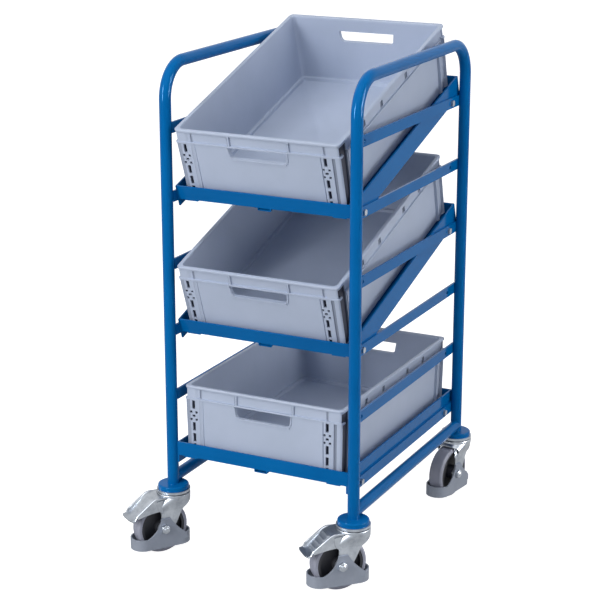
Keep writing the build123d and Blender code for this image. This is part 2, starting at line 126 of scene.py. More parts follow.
def makeBlueCoat():
    look = blueCoat
    finish, wire = newFinish("bluePowderCoat")
    clouds = ramp(wire, noise(wire, *look["clouds"]), *look["spread"])
    upward = wire.node("SeparateXYZ", inputs={0: wire.node("NewGeometry", output="Normal")}, output="Z")
    under = ramp(wire, upward, *look["dryFrom"])
    smear = look["smearRoughness"] * noise(wire, *look["smear"])
    closeFinish(wire, {
        "Base Color": mixed(wire, clouds, look["deep"], look["light"]),
        "Roughness": look["gloss"] + smear + look["dryRoughness"] * under,
        "Specular IOR Level": look["mirror"], "Specular Tint": look["mirrorTint"],
        "Normal": bumped(wire, noise(wire, *look["peel"]), look["peelDepth"], look["peelStrength"])})
    return finish


# moulded grey plastic: faint mottling and fine grain, with painted shade down in its pockets, grooves and recesses
binGrey = {
    # the last colour is the near-black that the painted shade mixes towards
    "face": (0.415, 0.476, 0.610, 1), "flow": (0.375, 0.436, 0.560, 1), "paintedShade": (0.009, 0.012, 0.032, 1),
    "clouds": (5.0, 5.0, 0.6), "spread": (0.35, 0.7), "grain": (900.0, 3.0, 0.5), "grainDepth": 0.00006,
    "grainStrength": 0.6, "roughness": 0.42, "cloudRoughness": 0.14, "mirror": 0.2,
}


def makeBinGrey():
    look = binGrey
    finish, wire = newFinish("mouldedGreyPlastic")
    clouds = noise(wire, *look["clouds"])
    plain = mixed(wire, ramp(wire, clouds, *look["spread"]), look["face"], look["flow"])
    # painted shade: the share of near-black that each relief of the outer wall sets
    paintedShade = wire.node("Attribute", {"attribute_name": "paintedShade"}, output="Fac")
    closeFinish(wire, {
        "Base Color": mixed(wire, paintedShade, plain, look["paintedShade"]),
        "Roughness": look["roughness"] + look["cloudRoughness"] * clouds,
        "Specular IOR Level": look["mirror"],
        "Normal": bumped(wire, noise(wire, *look["grain"]), look["grainDepth"], look["grainStrength"])})
    return finish


# one mottled finish: two shades in clouds, a roughness that follows them, and a grain
def makeMottled(look):
    finish, wire = newFinish(look["name"])
    clouds = noise(wire, *look["clouds"])
    closeFinish(wire, {
        "Base Color": mixed(wire, ramp(wire, clouds, *look["spread"]), *look["shades"]),
        "Metallic": look["metal"], "Roughness": look["roughness"] + look["cloudRoughness"] * clouds,
        "Normal": bumped(wire, noise(wire, *look["grain"]), look["grainDepth"], look["grainStrength"])})
    return finish


# bright zinc plate with drawn streaks and cloudy passivation
zincPlate = {
    "name": "brightZincPlate", "shades": ((0.46, 0.495, 0.54, 1), (0.25, 0.275, 0.315, 1)), "metal": 1.0,
    "clouds": (28.0, 5.0, 0.65), "spread": (0.35, 0.7), "grain": (260.0, 3.0, 0.5), "grainDepth": 0.00004,
    "grainStrength": 0.5, "roughness": 0.24, "cloudRoughness": 0.2,
}
# the casters' mouldings and rubber share their clouds
mattMoulding = {"metal": 0.0, "clouds": (18.0, 4.0, 0.6), "spread": (0.3, 0.7),
                "cloudRoughness": 0.12, "grainStrength": 0.6}
footGuard = mattMoulding | {
    "name": "mattGreyGuard", "shades": ((0.25, 0.283, 0.355, 1), (0.21, 0.24, 0.302, 1)),
    "roughness": 0.5, "grain": (700.0, 3.0, 0.5), "grainDepth": 0.00008,
}
rubberTread = mattMoulding | {
    "name": "greyRubberTread", "shades": ((0.285, 0.3, 0.385, 1), (0.235, 0.25, 0.325, 1)),
    "roughness": 0.62, "grain": (500.0, 3.0, 0.5), "grainDepth": 0.0001,
}
wheelCore = mattMoulding | {
    "name": "blackWheelCore", "shades": ((0.004, 0.006, 0.014, 1), (0.003, 0.004, 0.01, 1)),
    "roughness": 0.46, "grain": (600.0, 3.0, 0.5), "grainDepth": 0.00008,
}

finishes = {
    "frame_blue": makeBlueCoat(),
    "bin_grey": makeBinGrey(),
    "zinc": makeMottled(zincPlate),
    "guard_grey": makeMottled(footGuard),
    "tread_grey": makeMottled(rubberTread),
    "core_black": makeMottled(wheelCore),
}
finishes["bearing_steel"] = finishes["zinc"]
for part in frame["record"]["subparts"]:
    slots = nodes[part["node"]].data.materials
    slots.clear()
    slots.append(finishes[part["material_slot"]])
print("finishes:", len(finishes))


# quads of a grid of points: its columns run round and join up, its rows do so only where they are closed
def gridQuads(rows, columns, closeRows=False):
    i = np.arange(rows if closeRows else rows - 1)[:, None]
    j = np.arange(columns)[None, :]
    near, far = i * columns, (i + 1) % rows * columns
    after = (j + 1) % columns
    return np.stack([near + j, near + after, far + after, far + j], -1).reshape(-1, 4)


# a surface is its points and a list of face arrays, one array for each corner count
# caps shut its first and last row
def surface(points, closeRows=False, caps=False, flip=False):
    rows, columns = points.shape[:2]
    faces = [gridQuads(rows, columns, closeRows)]
    if caps:
        ring = np.arange(columns)[None, :]
        faces += [ring[:, ::-1], ring + (rows - 1) * columns]
    if flip:
        faces = [part[:, ::-1] for part in faces]
    return points.reshape(-1, 3), faces


sharpAngle = 35.0  # degrees; flatter edges are shaded smooth


def addPiece(name, surfaces, body, slot, replaced=(), marks=()):
    starts = np.cumsum([0] + [len(points) for points, _ in surfaces])
    faces = [part + start for (_, parts), start in zip(surfaces, starts) for part in parts]
    corners = np.concatenate([part.ravel() for part in faces])
    sizes = np.concatenate([np.full(len(part), part.shape[1]) for part in faces])
    mesh = bpy.data.meshes.new(name)
    mesh.vertices.add(starts[-1])
    mesh.vertices.foreach_set("co", np.concatenate([points for points, _ in surfaces]).ravel())
    mesh.loops.add(len(corners))
    mesh.loops.foreach_set("vertex_index", corners)
    mesh.polygons.add(len(sizes))
    mesh.polygons.foreach_set("loop_start", np.cumsum(sizes) - sizes)
    mesh.polygons.foreach_set("use_smooth", np.ones(len(sizes), bool))
    for label, values in dict(marks).items():
        mesh.attributes.new(label, "FLOAT", "POINT").data.foreach_set("value", values.ravel())
    mesh.update(calc_edges=True)
    mesh.set_sharp_from_angle(angle=radians(sharpAngle))
    mesh.materials.append(finishes[slot])
    piece = bpy.data.objects.new(name, mesh)
    bpy.context.scene.collection.objects.link(piece)
    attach(piece, body)
    if replaced:
        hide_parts(*replaced)


# bins: columns of points round the walls, carried over the rows of the wall's section, in millimetres
# a row has an inset from the rim's outer edge, a height and a corner radius
binForm = {
    "length": 600.0, "width": 400.0, "height": 170.0, "wall": 3.0, "draft": 5.0, "endOut": 5.0,
    "footInset": 11.0, "footHeight": 8.0, "footCorner": 6.0, "floorCorner": 10.0, "wallLow": 12.5,
    "column": 1.0, "columnCorner": 6.0, "taper": 2.5, "cornerZone": 8.0,
    "plainShort": 148.0, "plainLong": 250.0,  # up to here a column of points stands straight
    "bandLow": 137.0, "bandHigh": 141.0, "rib": 0.0, "hem": 4.2, "rimLow": 163.5,
    "gripWidth": 138.0, "gripLow": 110.0, "gripCorner": 8.0, "gripTaper": 4.0,
    "frameWidth": 4.0, "frameOut": 2.0,
    "gripSide": 14.0, "gripUnder": 12.0, "gripOver": 4.0,  # where the hand-hold's shift has faded out
    "edge": 0.25, "stepShort": 10.0, "stepLong": 14.0, "stepHigh": 9.0,  # half a step, gaps of plain lines
}
# inset and height of the rows inside at the floor, over the rim and under the foot
binRows = {
    "floor": ((22.7, 3.0), (22.1, 3.3), (21.8, 4.0), (21.8, 10.2), (21.5, 10.8), (20.9, 11.0),
              (15.4, 11.0), (14.3, 11.4)),
    "rim": ((9.0, 168.6), (8.6, 169.5), (7.6, 170.0), (1.4, 170.0), (0.4, 169.6), (0.0, 168.6),
            (0.0, 164.7), (0.4, 163.8)),
    "rimCorners": (11.0, 11.0, 11.0, 10.5, 10.0, 10.0, 10.0, 10.0),
    "foot": ((11.0, 9.0), (11.4, 8.2), (12.4, 8.0), (18.0, 8.0), (18.8, 7.4), (19.0, 6.6),
             (19.0, 1.0), (19.4, 0.3), (20.0, 0.0)),
    "gripBend": (0.6, 1.4, 2.4, 3.6, 5.0, 6.6),  # heights above the hand-hold's lower edge
}
# reliefs of the outer wall: places along a wall from its middle, or heights
# a groove of the columns also has its depth and its share of painted shade
binRelief = {
    "leftColumn": -153.5, "rightColumn": 148.0, "sideColumn": 256.0,
    # the first groove has no depth: it is painted shade alone, on the corner that turns away from the light
    "endGrooves": ((-200.0, -187.0, 0.0, 0.3), (-162.5, -156.0, 0.5, 0.1),
                   (150.5, 152.5, 2.0, 0.15), (178.0, 185.0, 2.0, 0.5)),
    "sideGrooves": ((260.0, 264.0, 2.0, 0.3),),
    "markCentres": (-178.0, 161.5), "markDepth": 7.5, "markHalf": 3.6, "dotNear": 4.4, "dotFar": 9.6,
    "markBars": ((14.0, 30.0), (35.0, 55.0), (62.0, 82.0), (95.5, 100.5), (115.0, 135.0)),
    "markDots": ((86.5, 91.5), (104.5, 109.5)),
    "gripLines": (-75.0, -69.0, -61.0, 61.0, 65.0, 69.0),
    "hemColumn": 170.0, "hemColumnInset": 1.3, "hemRibs": ((-69.0, -65.0), (75.5, 79.0)),
    "hemGrooves": ((-162.5, -157.5), (-72.0, -69.0), (73.0, 75.5), (159.0, 164.0)),
    "hemGroove": 2.0, "hemPaintedShade": 0.3,
    "notches": ((63.0, 77.0), (158.0, 172.0)), "notchHeights": (143.0, 157.0),
    "notchDepth": 0.5, "notchPaintedShade": 0.5,
    "recess": (264.0, 295.0), "recessBand": 284.0, "recessTop": 160.0, "recessDepth": 1.0,
    # painted shade in the recesses: nearly black towards the front, where the posts shade them, faint towards the
    # rear
    "recessPaintedShade": (0.95, 0.1),  # towards the front, towards the rear
}


# where the reliefs step: lines along the short walls, along the long walls and over the height
def reliefLines():
    f, r = binForm, binRelief
    reaches = np.array([r["markHalf"], r["dotNear"], r["dotFar"]])
    marks = np.add.outer(r["markCentres"], np.concatenate([-reaches, reaches])).ravel()
    grooves = np.array(r["endGrooves"])[:, :2].ravel()
    hem = np.ravel(r["hemRibs"] + r["hemGrooves"])
    ends = [marks, grooves, hem, r["gripLines"], [r["leftColumn"], r["rightColumn"], r["hemColumn"]]]
    half = np.concatenate([np.ravel(r["notches"]), np.array(r["sideGrooves"])[:, :2].ravel(), r["recess"],
                           [r["sideColumn"], r["recessBand"]]])
    frameLow = f["gripLow"] - f["frameWidth"]
    heights = [np.ravel(r["markBars"] + r["markDots"]), r["notchHeights"],
               [frameLow, f["gripLow"], f["bandLow"], f["bandHigh"], r["recessTop"]]]
    return np.concatenate(ends), np.concatenate([-half, half]), np.concatenate(heights)


shortLines, longLines, heightLines = reliefLines()


# evenly spaced lines, and a close pair at each edge in place of those near it
def linesAt(edges, low, high, step):
    soft = binForm["edge"]
    pairs = np.concatenate([edges - soft, edges + soft])
    steady = np.arange(low, high, step)
    steady = steady[np.abs(steady[:, None] - pairs[None, :]).min(1) > 4 * soft]
    lines = np.unique(np.concatenate([steady, pairs, [low, high]]).round(3))
    lines = lines[(lines >= low) & (lines <= high)]
    return lines[np.concatenate([[True], np.diff(lines) > soft / 2])]


def within(value, low, high):
    return (value > low) & (value < high)


# inset of a plain wall at a height: straight from the foot's inset, less the draft at the top
def wallInset(z):
    f = binForm
    return f["footInset"] - f["draft"] * (z - f["footHeight"]) / (f["height"] - f["footHeight"])


# the outer wall's inset at a place along its wall and a height, and how much painted shade it carries
# it starts as the plain wall, and each relief in turn sets its own level
def binOutside(wall, along, z):
    f, r = binForm, binRelief
    isShort = wall % 2 == 0
    reach = np.abs(along)
    plain = wallInset(z) - np.where(isShort, f["endOut"], 0.0)
    inset = plain.copy()
    paintedShade = np.zeros_like(inset)

    # carve sets the wall's level and its painted shade where the mask holds
    def carve(where, level, dark=0.0):
        inset[where] = np.broadcast_to(level, inset.shape)[where]
        paintedShade[where] = np.broadcast_to(dark, inset.shape)[where]

    # corner columns lean in downwards
    below = z < f["bandLow"]
    atEnds = (along < r["leftColumn"]) | (along > r["rightColumn"])
    columns = np.where(isShort, atEnds, reach > r["sideColumn"])
    face = f["column"] + f["taper"] * (f["bandLow"] - z) / (f["bandLow"] - f["footHeight"])
    carve(columns & below, face)
    # the columns' grooves carry their share of painted shade
    for low, high, depth, dark in r["endGrooves"]:
        carve(isShort & within(along, low, high) & below, face + depth, dark)
    for low, high, depth, dark in r["sideGrooves"]:
        carve(~isShort & within(reach, low, high) & below, face + depth, dark)
    # the marks are deep pockets filled with full painted shade
    markFloor = f["column"] + r["markDepth"]
    for centre in r["markCentres"]:
        off = np.abs(along - centre)
        for low, high in r["markBars"]:
            carve(isShort & (off < r["markHalf"]) & within(z, low, high), markFloor, 1.0)
        for low, high in r["markDots"]:
            carve(isShort & within(off, r["dotNear"], r["dotFar"]) & within(z, low, high), markFloor, 1.0)

    # raised frame below and beside the hand-hold, then the rib band round the whole bin
    gripEdge, frameLow = f["gripWidth"] / 2, f["gripLow"] - f["frameWidth"]
    nearGrip = isShort & (reach < gripEdge + f["frameWidth"])
    carve(nearGrip & within(z, frameLow, f["gripLow"]), plain - f["frameOut"])
    carve(nearGrip & (reach > gripEdge) & within(z, frameLow, f["bandLow"]), plain - f["frameOut"])
    carve(within(z, f["bandLow"], f["bandHigh"]), f["rib"])

    # hem under the rim, with ribs and grooves on the short walls and notches on the long ones; the grooves and
    # notches carry painted shade
    upper = within(z, f["bandHigh"], f["rimLow"])
    carve(upper, f["hem"])
    carve(isShort & (reach > r["hemColumn"]) & upper, r["hemColumnInset"])
    for low, high in r["hemRibs"]:
        carve(isShort & within(along, low, high) & upper, f["rib"])
    for low, high in r["hemGrooves"]:
        carve(isShort & within(along, low, high) & upper, f["hem"] + r["hemGroove"], r["hemPaintedShade"])
    atNotch = ~isShort & within(z, *r["notchHeights"])
    for low, high in r["notches"]:
        carve(atNotch & within(reach, low, high), plain + r["notchDepth"], r["notchPaintedShade"])

    # recess beside each corner of the long walls, crossed by the band's end; its painted shade is nearly black
    # towards the front and faint towards the rear
    dark = np.where(np.where(wall == 1, -along, along) > 0, *r["recessPaintedShade"])
    deep = ~isShort & within(reach, *r["recess"]) & (z < r["recessTop"])
    carve(deep & ((reach < r["recessBand"]) | below | upper), plain + r["recessDepth"], dark)
    return inset, paintedShade


# columns of the loop, anticlockwise from above: the lines of each wall up to its far corner's middle
def binLoop():
    f = binForm
    bend = f["columnCorner"] * np.array([pi / 12, pi / 6])
    place, wall = [], []
    for index in range(4):
        span, lines, step = ((f["width"], shortLines, f["stepShort"]) if index % 2 == 0
                             else (f["length"], longLines, f["stepLong"]))
        flat = span / 2 - f["column"] - f["columnCorner"]
        middle = f["columnCorner"] * pi / 4
        lines = linesAt(lines, -flat, flat, step)
        lines = np.concatenate([-flat - bend[::-1], lines, flat + bend, [flat + middle]])
        place.append(lines)
        wall.append(np.full(len(lines), index))
    return np.concatenate(place), np.concatenate(wall)


# a point's place: along the wall, then round the corner's arc
# rows of another size share out the same columns
def binPoints(along, wall, inset, z, radius, shift):
    f = binForm
    isShort = wall % 2 == 0
    half = np.where(isShort, f["width"], f["length"]) / 2
    across = np.where(isShort, f["length"], f["width"]) / 2
    plain = np.where(isShort, f["plainShort"], f["plainLong"])
    rowInset = np.median(inset[:, np.abs(along) > half - f["cornerZone"]], axis=1)[:, None]
    ownReach = half - rowInset - radius - plain + radius * pi / 4
    columnReach = half - f["column"] - f["columnCorner"] - plain + f["columnCorner"] * pi / 4
    travel = np.abs(along)
    travel = np.where(travel > plain, plain + (travel - plain) * ownReach / columnReach, travel)
    turn = np.clip(travel - (half - rowInset - radius), 0, None) / radius
    ahead = np.sign(along) * (np.minimum(travel, half - rowInset - radius) + radius * np.sin(turn)) + shift
    out = across - inset - radius * (1 - np.cos(turn))
    forward = np.array([(1, 0), (0, 1), (-1, 0), (0, -1)], float)[wall]
    normal = np.stack([forward[:, 1], -forward[:, 0]], 1)
    flat = forward * ahead[..., None] + normal * out[..., None]
    return np.concatenate([flat, np.broadcast_to(z, inset.shape)[..., None]], -1)


# the hand-hold's sides lean in downwards and its lower corners are round
# for that, columns near it shift along the wall
def gripShift(isShort, along, z):
    f = binForm
    edge = f["gripWidth"] / 2
    off = np.abs(along)
    rise = np.clip(z - f["gripLow"], 0, f["bandLow"] - f["gripLow"])
    lean = f["gripTaper"] * (rise / (f["bandLow"] - f["gripLow"]) - 0.5)
    below = np.clip(f["gripCorner"] - rise, 0, f["gripCorner"])
    corner = f["gripCorner"] - np.sqrt(f["gripCorner"] ** 2 - below ** 2)
    fade = np.where(off < edge, off / edge, np.clip(1 - (off - edge) / f["gripSide"], 0, 1))
    fade = fade * np.clip(1 - (f["gripLow"] - z) / f["gripUnder"], 0, 1)
    fade = fade * np.clip(1 - (z - f["bandLow"]) / f["gripOver"], 0, 1)
    return np.where(isShort & (off < edge + f["gripSide"]), np.sign(along) * (lean - corner) * fade, 0.0)


# one surface from the floor up the inner wall, over the rim, down the outer wall and under the foot
def binSurface():
    f = binForm
    along, wall = binLoop()
    isShort = wall % 2 == 0
    heights = linesAt(heightLines, f["wallLow"], f["rimLow"] - f["edge"], f["stepHigh"])
    corner = f["gripLow"] + f["edge"] + np.array(binRows["gripBend"])
    heights = np.unique(np.concatenate([heights, corner]).round(3))
    floorRows, rimRows, footRows = (np.array(binRows[name]) for name in ("floor", "rim", "foot"))
    downward = heights[::-1, None] + 0 * along
    outside, paintedShade = binOutside(wall[None, :], along + 0 * downward, downward)
    spread = np.ones(len(along))
    inside = (wallInset(heights) + f["wall"])[:, None]
    inset = np.concatenate([floorRows[:, :1] * spread, inside * spread, rimRows[:, :1] * spread, outside,
                            footRows[:, :1] * spread])
    z = np.concatenate([floorRows[:, 1], heights, rimRows[:, 1], heights[::-1], footRows[:, 1]])[:, None]
    radius = np.concatenate([np.full(len(floorRows) + len(heights), f["floorCorner"]),
                             binRows["rimCorners"], np.full(len(heights), f["columnCorner"]),
                             np.full(len(footRows), f["footCorner"])])[:, None]
    outerStart = len(floorRows) + len(heights) + len(rimRows)
    # the outer wall's rows carry the painted shade
    dark = np.zeros_like(inset)
    dark[outerStart:outerStart + len(heights)] = paintedShade
    shift = gripShift(isShort[None, :], along + 0 * inset, z + 0 * inset)
    points = binPoints(along, wall, inset, z, radius, shift)
    rowIn = len(floorRows) + np.arange(len(heights))
    rowOut = outerStart + np.arange(len(heights))[::-1]
    return points, dark, gripFaces(points, along, isShort, heights, rowIn, rowOut)


# leaves out the quads of both hand-holds and joins the inner and outer wall round each
def gripFaces(points, along, isShort, heights, rowIn, rowOut):
    f = binForm
    rows, columns = points.shape[:2]
    quads = gridQuads(rows, columns)[:, ::-1].reshape(rows - 1, columns, 4)
    keep = np.ones((rows - 1, columns), bool)
    room = 2 * f["edge"]
    high = np.flatnonzero(within(heights, f["gripLow"] - room, f["bandLow"] + room))
    hole = np.flatnonzero(isShort & (np.abs(along) < f["gripWidth"] / 2 + room))
    inner, outer = rowIn[high] * columns, rowOut[high] * columns
    faces = []
    for span in np.split(hole, np.flatnonzero(np.diff(hole) > 1) + 1):
        left, right = span[:-1], span[1:]
        for row in (rowIn[high], rowOut[high]):
            keep[np.ix_(np.minimum(row[:-1], row[1:]), left)] = False
        for row, turn in ((0, 1), (-1, -1)):
            ring = [outer[row] + left, outer[row] + right, inner[row] + right, inner[row] + left]
            faces.append(np.stack(ring, 1)[:, ::turn])
        for column, turn in ((span[0], -1), (span[-1], 1)):
            side = [outer[:-1] + column, outer[1:] + column, inner[1:] + column, inner[:-1] + column]
            faces.append(np.stack(side, 1)[:, ::turn])
    floor = np.arange(columns)[None, :]
    return faces + [quads[keep], floor, (floor + (rows - 1) * columns)[:, ::-1]]


# each bin stands square to the line it is lifted along; its top edges reach the node's front and top
def binPlace(tier):
    low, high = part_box(tier + "_bin")
    _, lean, cosine = joints[tier + "_bin_lift"]["axis"]
    sine = -lean
    halfLength, height = binForm["length"] / 2 * mm, binForm["height"] * mm
    front = low.y + halfLength * cosine + height * sine
    foot = high.z - halfLength * sine - height * cosine
    return np.array([0, front, foot]), np.array([[1, 0, 0], [0, cosine, -sine], [0, sine, cosine]])


binShape, binPaintedShade, binFaces = binSurface()
for tier in ("top", "middle", "bottom"):
    origin, tilt = binPlace(tier)
    placed = binShape.reshape(-1, 3) * mm @ tilt.T + origin
    addPiece(tier + "BinShell", [(placed, binFaces)], tier + "_bin", "bin_grey", [tier + "_bin"],
             {"paintedShade": binPaintedShade})
print("bins:", binPaintedShade.size, "points each")


# casters are drawn in millimetres about the swivel axis, x towards the axle and y along it
# they are then set at their posts
def atCaster(name, surfaces):
    post = np.array(joints[name + "_swivel_turn"]["pos_m"]) * [1, 1, 0]
    across = np.array(joints[name + "_wheel_roll"]["axis"])
    axes = np.stack([[across[1], -across[0], 0], across, [0, 0, 1]])
    return [(points * mm @ axes + post, faces) for points, faces in surfaces]


# rises from 0 to 1 between two values and is level at both
def smooth(value, low, high):
    share = np.clip((value - low) / (high - low), 0, 1)
    return share * share * (3 - 2 * share)


# a flat outline in x and z, anticlockwise, taken from one y to another
def plateBetween(outline, low, high):
    ends = [np.insert(outline, 1, y, axis=1) for y in (low, high)]
    return surface(np.stack(ends), caps=True, flip=True)


# a box is given by its two ends in x and in z
def boxBetween(box, low, high):
    x0, x1, z0, z1 = box
    return plateBetween(np.array([(x0, z0), (x1, z0), (x1, z1), (x0, z1)]), low, high)


# an outer face and the inner face behind it, joined all round; side -1 is the mirror image
def sheetBetween(outer, inner, side):
    return surface(np.concatenate([outer, inner[:, ::-1]], 1), caps=True, flip=side < 0)


# brake pedal: a pressed sheet that bends down at its knee and out again at its lip
# it has a raised border and plain ribs; tongue, bridge and inner wall are boxes, with ends in x, then in z
pedal = {
    "pinX": 22.0, "pinZ": 127.1, "top": 139.6, "knee": 59.0, "foot": 106.0, "tip": 121.5, "tipCorner": 4.0,
    "slope": 0.745, "lipSlope": 0.12, "kneeSoft": 4.0, "footSoft": 2.5, "halfWidth": 29.2, "sheet": 2.5,
    "headRoom": 40.0, "border": 2.2, "borderStep": (23.0, 25.5), "lipNear": 2.0, "lipFar": 6.0,
    "edgeFall": 1.4, "edgeWidth": 1.2, "shoulder": 1.2, "shoulderEnd": (40.0, 54.0),
    "sink": 6.0, "sinkNear": 2.0, "sinkFar": 4.0, "panel": 0.8, "panelRear": (61.0, 63.0),
    "panelFront": (100.0, 102.0), "panelSide": (19.0, 20.5),
    "ribs": (67.0, 76.5, 86.0, 95.5), "rib": 1.0, "ribHalf": 17.0, "ribSoft": 1.5,
    "rows": 90, "columns": 71,
    "skirtRadius": 34.5, "skirtLow": 107.4, "skirtEnd": 104.0, "skirtFall": 8.4, "skirtCurve": 1.6,
    "skirtDrop": 1.5,
    "earHalf": 22.5, "earSheet": 3.0, "earRadius": 6.0, "earTop": 5.2, "earHole": 3.05,
    "tongue": (14.0, 58.0, 132.1, 134.6), "bridge": (48.0, 57.0, 134.0, 137.6),
    "innerWall": (31.0, 57.0, 132.5, 138.6), "innerHalf": 25.9, "innerSheet": 0.9,
}


# the top's height: two straight lines and a lip, joined by soft bends
def pedalTop(x):
    p = pedal
    knee = p["kneeSoft"] * np.logaddexp(0, (x - p["knee"]) / p["kneeSoft"])
    foot = p["footSoft"] * np.logaddexp(0, (x - p["foot"]) / p["footSoft"])
    return p["top"] - p["slope"] * knee + (p["slope"] - p["lipSlope"]) * foot


# the pad runs from a round head to the tip
# its middle lies below the border, sinks towards the lip and carries the ribs
def pedalPad():
    p = pedal
    y = np.linspace(-p["halfWidth"], p["halfWidth"], p["columns"])[None, :]
    rear = np.sqrt(p["headRoom"] ** 2 - y ** 2)
    tip = p["tip"] - p["tipCorner"] * (y / p["halfWidth"]) ** 4
    x = rear + (tip - rear) * np.linspace(0, 1, p["rows"])[:, None]
    out = np.abs(y)
    onBorder = smooth(out, *p["borderStep"])
    inside = np.maximum(1 - onBorder, smooth(x, p["foot"] - p["lipNear"], p["foot"] + p["lipFar"]))
    sunk = p["sink"] * smooth(x, p["knee"] + p["sinkNear"], p["foot"] - p["sinkFar"])
    level = pedalTop(x) + p["border"] - inside * (p["border"] + sunk)
    panel = smooth(x, *p["panelRear"]) * (1 - smooth(x, *p["panelFront"]))
    panel = panel * (1 - smooth(out, *p["panelSide"]))
    ridge = sum(np.exp(-((x - place) / p["ribSoft"]) ** 2) for place in p["ribs"])
    relief = -p["edgeFall"] * smooth(out, p["halfWidth"] - p["edgeWidth"], p["halfWidth"])
    relief = relief - p["shoulder"] * (1 - smooth(x, *p["shoulderEnd"])) * onBorder
    relief = relief + p["panel"] * panel
    relief = relief + p["rib"] * ridge * (1 - smooth(out, p["ribHalf"] - p["ribSoft"], p["ribHalf"]))
    upper = np.stack([x, y + 0 * x, level + relief], -1)
    lower = np.stack([x, y + 0 * x, np.minimum(level, level + relief) - p["sheet"]], -1)
    return sheetBetween(upper, lower, 1)


# each skirt ends towards the fork on an arc about the pin, so that the seam stays shut as the pedal tips
def skirtOutline():
    p = pedal
    low = np.arcsin((p["skirtLow"] - p["pinZ"]) / p["skirtRadius"])
    high = np.arcsin((p["top"] - p["skirtDrop"] - p["pinZ"]) / p["skirtRadius"])
    bend = np.linspace(high, low, 16)
    arc = np.stack([p["pinX"] + p["skirtRadius"] * np.cos(bend),
                    p["pinZ"] + p["skirtRadius"] * np.sin(bend)], 1)
    share = np.linspace(0, 1, 16)[1:]
    lower = np.stack([arc[-1, 0] + (p["skirtEnd"] - arc[-1, 0]) * share,
                      p["skirtLow"] - p["skirtFall"] * share ** p["skirtCurve"]], 1)
    x = np.linspace(p["skirtEnd"], arc[0, 0], 20)[:-1]
    return np.concatenate([arc, lower, np.stack([x, pedalTop(x) - p["skirtDrop"]], 1)])


# an ear is a plate round the pin's hole: round below, square up to the tongue
def pedalEar(low, high):
    p = pedal
    turn = np.arange(48) * pi / 24
    across, up = np.cos(turn), np.sin(turn)
    tiny = 0.001  # keeps the square's sides off a division by nothing
    sides, top = p["earRadius"] / np.maximum(np.abs(across), tiny), p["earTop"] / np.maximum(up, tiny)
    outer = np.where(up > 0, np.minimum(sides, top), p["earRadius"])
    rings = [(p["earHole"], low), (p["earHole"], high), (outer, high), (outer, low)]
    rows = [np.stack([p["pinX"] + r * across, y + 0 * turn, p["pinZ"] + r * up], 1) for r, y in rings]
    return surface(np.stack(rows), closeRows=True)


# the two plates of a pair lie with their outer faces at the same reach from the middle
def pairOf(half, sheet):
    return (-half, sheet - half), (half - sheet, half)


def pedalSurfaces():
    p = pedal
    skirt, half = skirtOutline(), p["earHalf"]
    pieces = [pedalPad(), boxBetween(p["tongue"], -half, half), boxBetween(p["bridge"], -half, half)]
    pieces += [plateBetween(skirt, *ends) for ends in pairOf(p["halfWidth"], p["sheet"])]
    pieces += [boxBetween(p["innerWall"], *ends) for ends in pairOf(p["innerHalf"], p["innerSheet"])]
    return pieces + [pedalEar(*ends) for ends in pairOf(half, p["earSheet"])]


# flat cheek of a braked fork: it grows out of the leg, over an arch, and reaches the pedal's skirt
cheek = {
    "rear": 33.0, "leg": 26.35, "face": 29.0, "sink": 0.3, "swell": (34.5, 41.0), "swellUp": (98.0, 106.0),
    "low": 94.0, "archWide": 6.5, "archTall": 13.2, "archEnd": 49.5, "archTop": 107.2,
    "high": 136.4, "fall": 0.132, "radius": 34.1, "rows": 26, "columns": 40,
}


# rows rise from the arch, a quarter ellipse, to the sloped top
# columns run from the leg to an arc about the pin
def cheekSurface(side):
    c = cheek
    u = np.linspace(0, 1, c["columns"])[None, :]
    v = np.linspace(0, 1, c["rows"])[:, None]
    start = c["rear"] + (c["archEnd"] - c["rear"]) * u
    into = np.clip((c["archEnd"] - start) / c["archWide"], 0, 1)
    fromPin = c["rear"] - pedal["pinX"]
    high = c["high"] - c["fall"] * (fromPin + (c["radius"] - fromPin) * u)
    z = (c["low"] + c["archTall"] * np.sqrt(1 - into ** 2)) * (1 - v) + high * v
    edge = pedal["pinX"] + np.sqrt(c["radius"] ** 2 - (np.maximum(z, c["archTop"]) - pedal["pinZ"]) ** 2)
    x = c["rear"] + (edge - c["rear"]) * u
    y = c["leg"] + (c["face"] - c["leg"]) * smooth(x, *c["swell"]) * smooth(z, *c["swellUp"])
    outer = np.stack([x, side * y, z], -1)
    inner = np.stack([x, side * (c["leg"] - c["sink"]) + 0 * x, z], -1)
    return sheetBetween(outer, inner, side)


# flank of a plain fork: flat beside the wheel, then drawn in to the crown's round edge
flank = {
    "rear": 12.0, "front": 43.5, "low": 66.0, "waist": 100.0, "high": 135.5, "face": 26.6, "sheet": 2.4,
    "crown": 39.3, "crownRear": 72.0, "crownFront": 29.0, "rows": 40, "columns": 24,
}


# each point goes from its place on the flat to its place on the crown's arc as it rises
def flankSurface(side):
    k = flank
    u = np.linspace(0, 1, k["columns"])[None, :]
    z = np.linspace(k["low"], k["high"], k["rows"])[:, None]
    turn = np.radians(k["crownRear"] + (k["crownFront"] - k["crownRear"]) * u)
    share = smooth(z, k["waist"], k["high"])
    x = (k["rear"] + (k["front"] - k["rear"]) * u) * (1 - share) + k["crown"] * np.cos(turn) * share
    y = k["face"] * (1 - share) + k["crown"] * np.sin(turn) * share
    outer = np.stack([x, side * y, z + 0 * x], -1)
    inner = np.stack([x, side * (y - k["sheet"]), z + 0 * x], -1)
    return sheetBetween(outer, inner, side)


